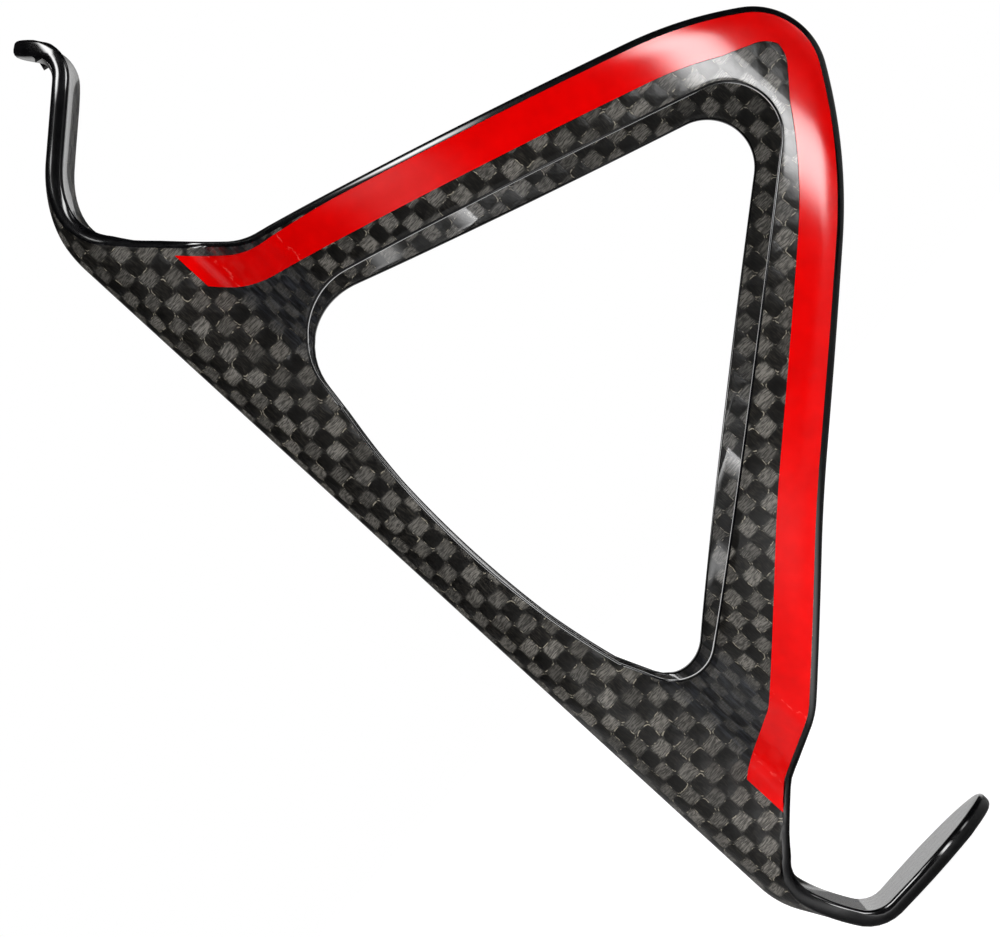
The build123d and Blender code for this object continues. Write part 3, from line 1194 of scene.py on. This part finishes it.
@dataclass
class EdgeStripe:
    """The red film along a wing's outer edge."""

    shell: CageShell
    side: Side
    margin: float = 0.75
    root_margin: float = 0.8
    pinch: float = 1.3
    pinch_reach: float = 9.0
    width: float = 3.85
    film: float = 0.11
    leads: tuple[Point, Point] = ((-4.0, 4.69), (-4.0, -3.48))  # run-on past the wing's two roots
    cells: tuple[int, int] = (420, 8)
    root_fade: Point = (7.5, 24.0)  # depths over which the root margin fades

    def build(self) -> Object:
        """Builds the film, which starts at the wing's seam and ends at it again.

        Returns:
            The film.
        """
        shell = self.shell
        ends = (shell.wing_root_top, shell.wing_root_foot)
        start, end = ((x + over, z + past) for (x, z), (over, past) in zip(ends, self.leads))
        line = RoundedPath([start, *shell.wing_corners, end], list(shell.wing_radii))
        strip = bmesh.new()
        made = bmesh.ops.create_grid(strip, x_segments=self.cells[0], y_segments=self.cells[1], size=0.5)
        layer = strip.loops.layers.uv.new("pattern")
        flat = {}
        for vert in made["verts"]:
            spot, heading = line.at((vert.co.x + 0.5) * line.length)
            inwards = Vector((heading.y, -heading.x))
            root = self.root_margin * (1 - ease(spot.x, *self.root_fade)) if spot.y > 0 else 0.0
            from_tip = abs((vert.co.x + 0.5) * line.length - sum(line.arcs[3]) / 2)
            slim = root + self.pinch * max(1 - from_tip / self.pinch_reach, 0.0)
            from_edge = self.margin + root + (self.width - slim) * (vert.co.y + 0.5)
            spot += inwards * from_edge
            fall = shell.fall(from_edge) * ease(spot.x, shell.root_top_x, shell.section.shoulder_x + 1.0)
            flat[vert] = (shell.section.girth_at(max(spot.x, 2.0)), spot.y, fall)
        for face in strip.faces:
            for loop in face.loops:
                loop[layer].uv = flat[loop.vert][:2]
        for vert, (girth, run, fall) in flat.items():
            depth, lateral = shell.section.place(girth, fall)
            vert.co = (depth, lateral, run)
        strip.normal_update()
        middle = list(strip.faces)[len(strip.faces) // 2]
        if middle.normal.dot(middle.calc_center_median() - Vector((shell.section.bottle_x, 0, 0))) < 0:
            bmesh.ops.reverse_faces(strip, faces=strip.faces)
        strip.normal_update()
        for vert in strip.verts:
            vert.co += vert.normal * self.film
        bmesh.ops.bisect_plane(
            strip, geom=strip.verts[:] + strip.edges[:] + strip.faces[:], dist=0.001,
            plane_co=(shell.seam_x, 0, 0), plane_no=(1, 0, 0), clear_inner=True,
        )
        if self.side is Side.LEFT:
            bmesh.ops.scale(strip, vec=(1, -1, 1), verts=strip.verts)
            bmesh.ops.reverse_faces(strip, faces=strip.faces)
        strip.normal_update()
        bmesh.ops.solidify(strip, geom=strip.faces[:], thickness=self.film * 1.6)
        strip.normal_update()
        for edge in strip.edges:
            edge.smooth = len(edge.link_faces) != 2 or abs(edge.calc_face_angle(0.0)) < math.radians(50)
        piece = as_object(strip, f"red_film_{self.side.word}_wing")
        bend_with_wing(piece, self.side)
        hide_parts(f"{self.side.word}_stripe")
        return piece

    def dress(self, piece: Object, film: RedFilm) -> None:
        """Gives the film its red."""
        piece.data.materials.append(film.make())


@dataclass
class BoltPatches:
    """The two stiffening patches round the bolt holes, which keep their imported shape."""

    nodes: tuple[str, ...] = ("upper_bolt_patch", "lower_bolt_patch")

    def dress(self, skin: WovenCarbon) -> None:
        """Gives the patches a woven skin on their flat faces.

        Args:
            skin: The finish.
        """
        material = skin.make()
        for node in self.nodes:
            patch = frame["nodes"][node]
            patch.data.materials.clear()
            patch.data.materials.append(material)


# ---- surroundings -----------------------------------------------------------------------
@dataclass(frozen=True)
class Panel:
    """A soft light panel that faces the cage and fades towards its edges.

    Attributes:
        name: The panel's name.
        place: Where it is, in metres.
        width: Its width in metres.
        height: Its height in metres.
        strength: Its emission in the middle.
        mirrored: Whether gloss reflects it.
        lights: Whether it lights matt surfaces.
        soft: How much of its half-size fades out.
    """

    name: str
    place: tuple[float, float, float]
    width: float
    height: float
    strength: float
    mirrored: bool = True
    lights: bool = True
    soft: float = 0.8

    def build(self) -> Object:
        """Builds the panel.

        Returns:
            The panel, aimed at the origin.
        """
        sheet = bmesh.new()
        turn = (-Vector(self.place)).to_track_quat("Z", "Y").to_matrix().to_4x4()
        turn.translation = Vector(self.place) / MM
        shape = Matrix.Diagonal((self.width / MM / 2, self.height / MM / 2, 1, 1))
        bmesh.ops.create_grid(sheet, x_segments=1, y_segments=1, size=1, matrix=turn @ shape, calc_uvs=False)
        layer = sheet.loops.layers.uv.new("panel")
        for face in sheet.faces:
            for loop, spot in zip(face.loops, ((-1, -1), (1, -1), (1, 1), (-1, 1))):
                loop[layer].uv = spot
        panel = as_object(sheet, self.name)
        panel.data.materials.append(self.fabric())
        panel.visible_camera = False
        panel.visible_shadow = False
        panel.visible_glossy = self.mirrored
        panel.visible_diffuse = self.lights
        return panel

    def fabric(self) -> Material:
        """Builds the panel's glowing fabric, which is bright in the middle.

        Returns:
            The material.
        """
        r = Recipe(f"{self.name}_fabric")
        _, x, y, _ = r.place(Source.PANEL)
        fades = [r.put(Op.RAMP, r.put(Op.ABSOLUTE, part), 1.0, 1 - self.soft) for part in (x, y)]
        return r.finish({
            "Emission Strength": r.put(Op.MULTIPLY, *fades, self.strength), "Emission Color": "#ffffff",
            "Base Color": "#000000", "Specular IOR Level": 0.0,
        })


@dataclass
class Studio:
    """A white room: bright behind the cage, dim in reflections, with soft panels."""

    floor_z: float = -0.0606
    floor_radius: float = 1.6
    pool: float = 2.2  # how bright the painted pool of lamplight on the floor beside the cage glows in reflections
    pool_middle: Point = (-0.01, -0.07)
    dusk: float = 0.03  # how bright the rest of the floor is in reflections
    room: str = "#ffffff"
    reflected: str = "#141416"
    panels: tuple[Panel, ...] = (
        Panel("key_softbox", (0.60, -0.68, 0.04), 0.42, 0.9, 17.0),
        Panel("top_softbox", (-0.10, -0.27, 0.75), 0.55, 0.9, 20.0, lights=False),
        Panel("front_fill", (-0.95, -0.75, 0.3), 1.0, 1.0, 8.5, mirrored=False),
        Panel("side_strip", (1.0, -0.17, -0.05), 0.30, 0.6, 5.0),
        Panel("key_flag", (0.093, -0.047, 0.0), 0.026, 0.09, 0.0, lights=False),
        Panel("back_wall", (0.15, 1.2, 0.02), 1.4, 0.45, 0.72),
        Panel("back_fill", (-0.9, 0.8, 0.4), 0.9, 0.9, 5.0, mirrored=False),
    )

    def build(self) -> None:
        """Builds the world, the floor and the panels."""
        world = bpy.data.worlds.new("white_room")
        world.use_nodes = True
        tree = world.node_tree
        tree.nodes.clear()
        ray = add_node(tree, "ShaderNodeLightPath", {}).outputs["Is Camera Ray"]
        felt, seen = (
            add_node(tree, "ShaderNodeBackground", {0: colour}).outputs[0]
            for colour in (self.reflected, self.room)
        )
        mix = add_node(tree, "ShaderNodeMixShader", {0: ray, 1: felt, 2: seen})
        add_node(tree, "ShaderNodeOutputWorld", {0: mix.outputs[0]})
        bpy.context.scene.world = world
        floor = bmesh.new()
        bmesh.ops.create_circle(
            floor, cap_ends=True, segments=96, radius=self.floor_radius / MM,
            matrix=Matrix.Translation((0, 0, self.floor_z / MM)),
        )
        piece = as_object(floor, "pale_floor")
        piece.data.materials.append(self.paper())
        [panel.build() for panel in self.panels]

    def paper(self) -> Material:
        """Builds matt white backdrop paper, as bright as the room and dim in reflections but
        for a painted pool of lamplight beside the cage.

        Returns:
            The material.
        """
        r = Recipe("white_backdrop_paper")
        away = r.put(Op.DISTANCE, r.place(Source.OBJECT)[0], (*self.pool_middle, self.floor_z))
        # painted pool of lamplight beside the cage, which glows only in reflections
        felt = r.put(Op.ADD, r.put(Op.MULTIPLY, r.put(Op.RAMP, away, 0.06, 0.02), self.pool), self.dusk)
        seen = add_node(r.tree, "ShaderNodeLightPath", {}).outputs["Is Camera Ray"]
        unseen = r.put(Op.MULTIPLY, felt, r.put(Op.SUBTRACT, 1.0, seen))
        return r.finish({
            "Emission Strength": r.put(Op.ADD, seen, unseen), "Emission Color": "#ffffff",
            "Base Color": "#8a8a8a", "Roughness": 0.9,
        })


@dataclass
class Viewpoint:
    """The camera: a long lens, level with the cage's side and turned on its axis.

    Attributes:
        place: Where it is, in metres.
        right: Which way its right side points.
        lens: Focal length in millimetres.
        sensor: Width of the sensor in millimetres.
    """

    place: tuple[float, float, float] = (0.0140, -0.703, 0.0025)
    right: tuple[float, float, float] = (0.6752, 0.0, -0.7377)
    lens: float = 239.2
    sensor: float = 36.0

    def build(self) -> None:
        """Builds the camera and makes it the scene's."""
        data = bpy.data.cameras.new("product_camera")
        data.sensor_width = self.sensor
        data.lens = self.lens
        right, back = Vector(self.right).normalized(), Vector((0, -1, 0))
        up = back.cross(right)
        turn = Matrix((right, up, back)).transposed().to_4x4()
        camera = bpy.data.objects.new("product_camera", data)
        camera.matrix_world = Matrix.Translation(self.place) @ turn
        bpy.context.scene.collection.objects.link(camera)
        bpy.context.scene.camera = camera


def main() -> None:
    """Builds, dresses and reports the cage and its surroundings."""
    bpy.context.scene.view_settings.view_transform = "Standard"
    weave, edge, film = WovenCarbon(), LaminateEdge(), RedFilm()
    shell = CageShell()
    laminate = shell.build()
    shell.dress(laminate, weave, edge)
    pieces = list(laminate.values())
    for side in Side:
        stripe = EdgeStripe(shell, side)
        pieces.append(stripe.build())
        stripe.dress(pieces[-1], film)
    BoltPatches().dress(WovenCarbon(name="woven_patch_clear_coated", source=Source.OBJECT, step_mm=()))
    Studio().build()
    Viewpoint().build()
    for piece in pieces:
        LOG.info("%s: %d faces", piece.name, len(piece.data.polygons))


if __name__ == "__main__":
    logging.basicConfig(level=logging.INFO, format="%(name)s: %(message)s")
    main()
